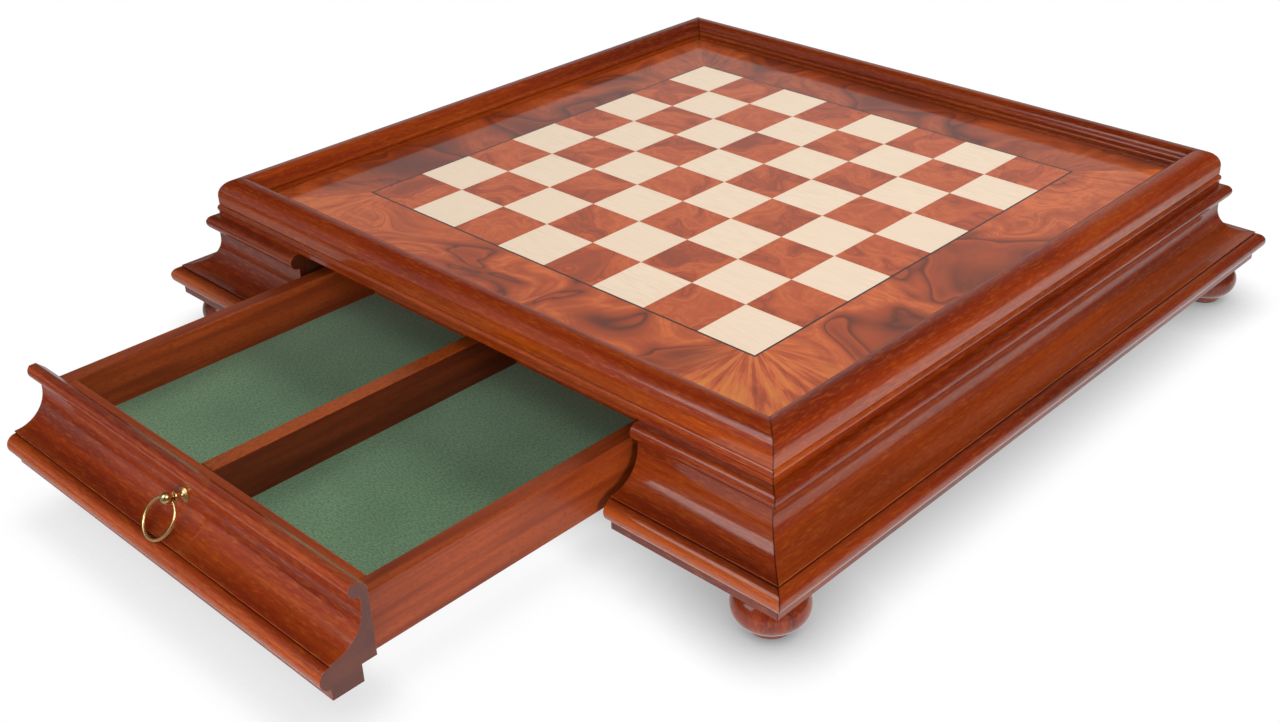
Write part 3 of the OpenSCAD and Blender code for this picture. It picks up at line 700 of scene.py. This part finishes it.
# the box walls keep their CAD shapes and get eased edges
drawerBox = {"easing": 0.7, "woods": {
    "inner_front": boxWoodX, "back": boxWoodX, "left": boxWoodY, "right": boxWoodY,
    "divider": dividerWoodInPaintedShade}}
for side in ("front", "back"):
    for part, wood in drawerBox["woods"].items():
        cadName = side + "_drawer_" + part
        wall = pick(copyPiece(parts[cadName], side + "Drawer" + part.title().replace("_", "")))
        wall.parent = None
        for key in list(wall.keys()):
            del wall[key]
        bpy.ops.object.mode_set(mode="EDIT")
        bpy.ops.mesh.select_all(action="SELECT")
        bpy.ops.mesh.remove_doubles(threshold=0.01*mm)
        bpy.ops.mesh.dissolve_limited(angle_limit=radians(1))
        deselect()
        easeEdges(wall, drawerBox["easing"])
        finishPiece(wall, wood, side + "_drawer", [cadName])
print("drawer boxes done")

# baize on the drawer floors
lining = {"thickness": 1.0, "sink": 0.05, "spacing": 6, "lift": 0.12, "waves": 40}
for side in ("front", "back"):
    for hand in ("left", "right"):
        cadName = f"{side}_drawer_felt_{hand}"
        low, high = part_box(cadName)
        width, length = high.x - low.x, high.y - low.y
        deselect()
        bpy.ops.mesh.primitive_grid_add(x_subdivisions=round(width/mm/lining["spacing"]),
                                        y_subdivisions=round(length/mm/lining["spacing"]), size=1)
        baize = bpy.context.object
        baize.name = baize.data.name = side + "DrawerBaize" + hand.capitalize()
        baize.scale = (width, length, 1)
        baize.location = ((low.x + high.x)/2, (low.y + high.y)/2, high.z - lining["sink"]*mm)
        bpy.ops.object.transform_apply(location=True, rotation=True, scale=True)
        for vertex in baize.data.vertices:    # the cloth lies a little uneven on its glue
            unevenness = 0.5 + 0.5*noise.noise(vertex.co*lining["waves"])
            vertex.co.z -= lining["lift"]*mm*unevenness
        addModifier(baize, "SOLIDIFY", thickness=lining["thickness"]*mm, offset=-1)
        finishPiece(baize, liningFelt, side + "_drawer", [cadName])
print("baize laid")


# Feet: turned buns on a small disc, with felt below
foot = {"discDiameter": 24.6, "discBottom": 1, "discTop": 4, "discEasing": 0.5,
        "diameter": 41.4, "bunRadius": 10.5, "neckDiameter": 29, "height": 27,
        "fromMiddle": 231.8, "padDiameter": 23, "padEasing": 0.3, "turnSteps": 72}


def turnOutline(piece, angleSteps):    # spins the outline about Z
    bpy.ops.mesh.select_all(action="SELECT")
    bpy.ops.mesh.spin(steps=angleSteps, angle=2*pi, center=(0, 0, 0), axis=(0, 0, 1))
    bpy.ops.mesh.select_all(action="SELECT")
    bpy.ops.mesh.remove_doubles(threshold=0.005*mm)
    bpy.ops.mesh.normals_make_consistent(inside=False)
    deselect()
    return piece


bunMiddle = foot["discTop"] + foot["bunRadius"]
bunCentre = foot["diameter"]/2 - foot["bunRadius"]
neck = foot["neckDiameter"]/2
bunTurn = 90 + degrees(acos((neck - bunCentre)/foot["bunRadius"]))
disc, discEasing = foot["discDiameter"]/2, foot["discEasing"]
footPiece = turnOutline(drawOutline("foot", (0, foot["discBottom"]), [
    (disc - discEasing, foot["discBottom"]),
    ((disc - discEasing, foot["discBottom"] + discEasing), 90),
    (disc, foot["discTop"] - discEasing),
    ((disc - discEasing, foot["discTop"] - discEasing), 90),
    (bunCentre, foot["discTop"]),
    ((bunCentre, bunMiddle), bunTurn),
    (neck, foot["height"]),
    (0, foot["height"]),
], arcStep=6), foot["turnSteps"])
padRadius, padEasing = foot["padDiameter"]/2, foot["padEasing"]
pad = turnOutline(drawOutline("pad", (0, 0), [
    (padRadius - padEasing, 0),
    ((padRadius - padEasing, padEasing), 90),
    (padRadius, foot["discBottom"]),
    (0, foot["discBottom"]),
], arcStep=15), foot["turnSteps"])
for side, y in (("front", -foot["fromMiddle"]), ("back", foot["fromMiddle"])):
    for hand, x in (("left", -foot["fromMiddle"]), ("right", foot["fromMiddle"])):
        turned = copyPiece(footPiece, "foot" + side.capitalize() + hand.capitalize())
        placeAt(turned, 0, (x, y + caseY, 0))
        finishPiece(turned, footWood, "case", [f"foot_{side}_{hand}"])
        felt = copyPiece(pad, "pad" + side.capitalize() + hand.capitalize())
        placeAt(felt, 0, (x, y + caseY, 0))
        finishPiece(felt, padFelt, "case", ["foot_pads"])
for helper in (footPiece, pad):
    bpy.data.objects.remove(helper)
print("feet done")


# Ring pulls: a rosette, a collar and a ball on one stem, and a loose ring through it
pull = {
    "angle": 18, "rosette": 9, "neck": 3.4, "eyeOut": 7.6, "ballOut": 9.1, "ball": 6.6,
    "hole": 2.9, "drill": 14, "ring": 22, "wire": 1.7, "clear": 0.4,
    # turned lines of the stem: out from the rosette's rim or the neck, and up from the wood
    "rosetteLines": ((-0.2, -0.3), (0, 0.2), (-0.35, 0.6), (-0.9, 0.75)),
    "neckLines": ((0.9, 1.3), (0.25, 2.3), (0, 3.4), (0, 4.6), (1.1, 5.0), (1.3, 5.4), (1.1, 5.8)),
    "stemSteps": 64, "ringSteps": 96, "wireSteps": 20, "drillSteps": 32,
}
slant = radians(pull["angle"])
coveAt, coveRadius = baseMoulding["coveAt"], baseMoulding["coveRadius"]
postAt = (coveAt[0] - coveRadius*cos(slant), coveAt[1] - coveRadius*sin(slant))
eyeAt = (postAt[0] + pull["eyeOut"]*cos(slant), postAt[1] + pull["eyeOut"]*sin(slant))


# how far the ring leans out to hang clear of the moulding's lip and of the round below it
def hangingLean():
    clear = pull["wire"]/2 + pull["clear"]
    lip, roundAt = baseMoulding["lip"], baseMoulding["roundAt"]
    toLip = (lip[0] - eyeAt[0], eyeAt[1] - lip[1])
    toRound = (roundAt[0] - eyeAt[0], eyeAt[1] - roundAt[1])
    reach = hypot(*toRound)
    roundReach = baseMoulding["roundRadius"] + clear
    share = (reach**2 + pull["ring"]**2 - roundReach**2)/(2*reach*pull["ring"])
    overLip = atan2(*toLip) + asin(clear/hypot(*toLip))
    overRound = atan2(*toRound) + acos(min(1, share))
    return max(overLip, overRound)


neck = pull["neck"]/2
rosette = pull["rosette"]/2
ballRadius = pull["ball"]/2
ballTurn = 180 - degrees(asin(neck/ballRadius))
ballBase = pull["ballOut"] - ballRadius*cos(asin(neck/ballRadius))
post = turnOutline(drawOutline("post", (0, pull["rosetteLines"][0][1]), [
    *[(rosette + out, up) for out, up in pull["rosetteLines"]],
    *[(neck + out, up) for out, up in pull["neckLines"]],
    (neck, ballBase),
    ((0, pull["ballOut"]), ballTurn),
]), pull["stemSteps"])
pick(post)
bpy.ops.mesh.primitive_cylinder_add(vertices=pull["drillSteps"], radius=pull["hole"]/2*mm,
                                    depth=pull["drill"]*mm, rotation=(0, pi/2, 0),
                                    location=(0, 0, pull["eyeOut"]*mm))
drill = bpy.context.object
addModifier(post, "BOOLEAN", operation="DIFFERENCE", object=drill, solver="EXACT")
bpy.data.objects.remove(drill)
post.rotation_euler = (radians(90 - pull["angle"]), 0, 0)
post.location = (0, -(baseMoulding["carcass"] + postAt[0])*mm,
                 (baseMoulding["foot"] + postAt[1])*mm)
pick(post)
bpy.ops.object.transform_apply(location=True, rotation=True, scale=True)

deselect()
bpy.ops.mesh.primitive_circle_add(vertices=pull["wireSteps"], radius=pull["wire"]/2*mm,
                                  fill_type="NOTHING", rotation=(pi/2, 0, 0),
                                  location=(pull["ring"]/2*mm, 0, 0))
ring = bpy.context.object
bpy.ops.object.transform_apply(location=True, rotation=True, scale=True)
bpy.ops.object.mode_set(mode="EDIT")
turnOutline(ring, pull["ringSteps"])
ring.location = (0, 0, -pull["ring"]/2*mm)
ring.rotation_euler = (pi/2, 0, 0)
pick(ring)
bpy.ops.object.transform_apply(location=True, rotation=True, scale=True)
ring.rotation_euler = (-hangingLean(), 0, 0)
ring.location = (0, -(baseMoulding["carcass"] + eyeAt[0])*mm,
                 (baseMoulding["foot"] + eyeAt[1])*mm)
pick(ring)
bpy.ops.object.transform_apply(location=True, rotation=True, scale=True)
for side, turn, moveY in (("front", 0, caseY - drawerFront["open"]), ("back", 180, caseY)):
    stem = copyPiece(post, side + "PullPost")
    placeAt(stem, turn, (0, moveY, 0))
    finishPiece(stem, brass, side + "_drawer", [side + "_pull_post"])
    loop = copyPiece(ring, side + "PullRing")
    placeAt(loop, turn, (0, moveY, 0))
    finishPiece(loop, brass, side + "_ring", [side + "_pull_ring"], smooth=60)
for helper in (post, ring):
    bpy.data.objects.remove(helper)
print("ring pulls done")


# Parts that keep their own shape get their finish here
finishes = {
    "board": coreBoard, "stringing": lineVeneer, "light_squares": mapleSquares,
    "dark_squares": burlSquares, "bottom_board": plywood, "foot_screws": screwSteel,
    "front_drawer_bottom": plywood, "back_drawer_bottom": plywood,
}
finishes.update({"border_" + side: material for side, material in burlSides.items()})
finishes.update({name: carcassWood for name in parts if name.startswith((
    "carcass_", "partition_", "runners", "kickers", "drawer_stop", "corner_blocks"))})
for name, material in finishes.items():
    parts[name].data.materials.clear()
    parts[name].data.materials.append(material)


# Studio: white paper below, soft lamps at the sides and one above
studio = {
    "floorSize": 8000, "floorTone": "#f4f4f4", "floorRoughness": 0.9, "world": 0.02, "sky": 0.03,
    # a painted shadow darkens the paper where the box stands this close over it: shut in, open,
    # darkest
    "paper": 42, "paperPaintedShadow": (0.2, 0.9, 0.25),
    # its glow in the lacquer: near the box, far from it, glow there; left, right, glow on each
    "sheen": (470, 640, 0.06), "paperGlow": (-20, 250, 0.45, 0.85),
    "cards": (    # azimuth from, to, softness, then brightness by elevation
        (-190, 190, 5, ((0, 0.15), (8, 0.1), (14, 0.0))),
        (-150, -104, 10, ((0, 0.3), (36, 0.25), (48, 0.0))),
        (92, 156, 12, ((0, 0.2), (10, 0.25), (16, 0.42), (24, 0.4), (34, 0.27), (44, 0.0)))),
    "lamps": {    # azimuth, elevation, distance, size, power, mirrored in the lacquer
        "keyFront": (-78, 8, 1500, 650, 17, False), "keyRight": (-15, 8, 1500, 650, 15, False),
        "keyHigh": (-45, 50, 1500, 750, 5, True), "frontLeft": (-115, 52, 1500, 650, 1, False),
        "backRight": (70, 36, 2600, 1100, 38, False), "backLeft": (120, 36, 2600, 1100, 38, False),
        "above": (0, 90, 1650, 1200, 3, False)},
    "lampsFace": 60,
}
deselect()
bpy.ops.mesh.primitive_plane_add(size=studio["floorSize"]*mm)
floor = bpy.context.object
floor.name = "studioFloor"
floorPaint, tree, surface = newMaterial("mattWhitePaper")
surface.inputs["Base Color"].default_value = shade(studio["floorTone"])
surface.inputs["Roughness"].default_value = studio["floorRoughness"]
light = addNode(tree, "LightPath", {}).outputs
# to the eye the paper glows evenly, with a painted shadow only close under the box
shut, clear, darkest = studio["paperPaintedShadow"]
above = addNode(tree, "AmbientOcclusion", {"Distance": studio["paper"]*mm}, samples=16)
paintedShadow = addNode(tree, "MapRange", {0: above.outputs["AO"], 1: shut, 2: clear, 3: darkest, 4: 1.0})
paperWithPaintedShadow = addNode(tree, "Emission", {"Color": (1, 1, 1, 1),
                                       "Strength": paintedShadow.outputs[0]}).outputs[0]
# in the lacquer it shows brighter on the right than on the left, and dark further off
near, far, dim = studio["sheen"]
left, right, leftGlow, rightGlow = studio["paperGlow"]
place = addNode(tree, "TexCoord", {}).outputs["Object"]
away = addNode(tree, "VectorMath", {0: place, 1: (0, caseY*mm, 0)}, operation="DISTANCE")
across = addNode(tree, "SeparateXYZ", {0: place}).outputs[0]
across = addNode(tree, "MapRange", {0: across, 1: left*mm, 2: right*mm, 3: leftGlow,
                                    4: rightGlow}).outputs[0]
glow = addNode(tree, "MapRange", {0: away.outputs["Value"], 1: near*mm, 2: far*mm, 3: across,
                                  4: dim}).outputs[0]
glow = addNode(tree, "Emission", {"Color": (1, 1, 1, 1), "Strength": glow}).outputs[0]
shown = addNode(tree, "MixShader", {0: light["Is Camera Ray"], 1: surface.outputs[0],
                                    2: paperWithPaintedShadow}).outputs[0]
shown = addNode(tree, "MixShader", {0: light["Is Glossy Ray"], 1: shown, 2: glow}).outputs[0]
tree.links.new(shown, tree.nodes["Material Output"].inputs[0])
floor.data.materials.append(floorPaint)

# the air is bright to the eye and nearly dark in the lacquer, apart from a low glow all round and
# a pale card at the front left and at the back
world = bpy.data.worlds.new("studioAir")
bpy.context.scene.world = world
world.use_nodes = True
tree = world.node_tree
tree.nodes.clear()
light = addNode(tree, "LightPath", {}).outputs
toward = addNode(tree, "TexCoord", {}).outputs["Generated"]
toward = addNode(tree, "SeparateXYZ", {0: toward}).outputs
azimuth = addNode(tree, "Math", {0: toward[1], 1: toward[0]}, operation="ARCTAN2").outputs[0]
sky = studio["sky"]
for low, high, soft, glows in studio["cards"]:
    card = addNode(tree, "ValToRGB", {"Fac": toward[2]}, [
        (sin(radians(angle)), glow) for angle, glow in glows]).outputs[0]
    for edge, inward in ((low, soft), (high, -soft)):
        card = addNode(tree, "MapRange", {0: azimuth, 1: radians(edge - inward),
                                          2: radians(edge + inward), 3: 0.0, 4: card},
                       interpolation_type="SMOOTHSTEP").outputs[0]
    sky = addNode(tree, "Math", {0: card, 1: sky}, operation="ADD").outputs[0]
strength = addNode(tree, "MapRange", {0: light["Is Glossy Ray"], 3: studio["world"],
                                      4: sky}).outputs[0]
strength = addNode(tree, "MapRange", {0: light["Is Camera Ray"], 3: strength, 4: 1.0}).outputs[0]
air = addNode(tree, "Background", {"Color": (1, 1, 1, 1), "Strength": strength})
addNode(tree, "OutputWorld", {"Surface": air.outputs[0]})

for name, (azimuth, elevation, distance, size, power, mirrored) in studio["lamps"].items():
    lamp = bpy.data.lights.new(name, "AREA")
    lamp.shape, lamp.size, lamp.energy = "SQUARE", size*mm, power
    holder = bpy.data.objects.new(name, lamp)
    holder.visible_glossy = mirrored
    turn, rise = radians(azimuth), radians(elevation)
    toward = Vector((cos(rise)*cos(turn), cos(rise)*sin(turn), sin(rise)))
    holder.location = Vector((0, caseY, studio["lampsFace"]))*mm + toward*distance*mm
    holder.rotation_euler = toward.to_track_quat("Z", "Y").to_euler()
    bpy.context.scene.collection.objects.link(holder)

# a white card at the front left, seen only in the lacquer
whiteCard = {"place": (-360, -1060, 934), "faces": (230, -152, 53), "width": 620, "height": 600,
             "glow": 3.2}
deselect()
bpy.ops.mesh.primitive_plane_add(size=1)
card = bpy.context.object
card.name = "studioCard"
card.scale = (whiteCard["width"]*mm, whiteCard["height"]*mm, 1)
toward = Vector(whiteCard["faces"]) - Vector(whiteCard["place"])
card.rotation_euler = toward.to_track_quat("Z", "Y").to_euler()
card.location = Vector(whiteCard["place"])*mm
bpy.ops.object.transform_apply(location=True, rotation=True, scale=True)
card.visible_camera = card.visible_diffuse = card.visible_shadow = False
cardPaint, tree, surface = newMaterial("litWhiteCard")
paper = addNode(tree, "Emission", {"Color": (1, 1, 1, 1), "Strength": whiteCard["glow"]})
tree.links.new(paper.outputs[0], tree.nodes["Material Output"].inputs[0])
card.data.materials.append(cardPaint)

camera = {"place": (596.1, -601.1, 487.0), "azimuth": 43.018, "elevation": 30.068, "roll": -0.907,
          "lens": 42.636, "shiftX": -0.0289}
eye = bpy.data.cameras.new("camera")
eye.lens, eye.sensor_width, eye.shift_x = camera["lens"], 36, camera["shiftX"]
holder = bpy.data.objects.new("camera", eye)
bpy.context.scene.collection.objects.link(holder)
holder.matrix_world = (Matrix.Translation(Vector(camera["place"])*mm)
                       @ Matrix.Rotation(radians(camera["azimuth"]), 4, "Z")
                       @ Matrix.Rotation(radians(90 - camera["elevation"]), 4, "X")
                       @ Matrix.Rotation(radians(camera["roll"]), 4, "Z"))
bpy.context.scene.camera = holder
bpy.context.scene.view_settings.view_transform = "Standard"
print("studio ready")
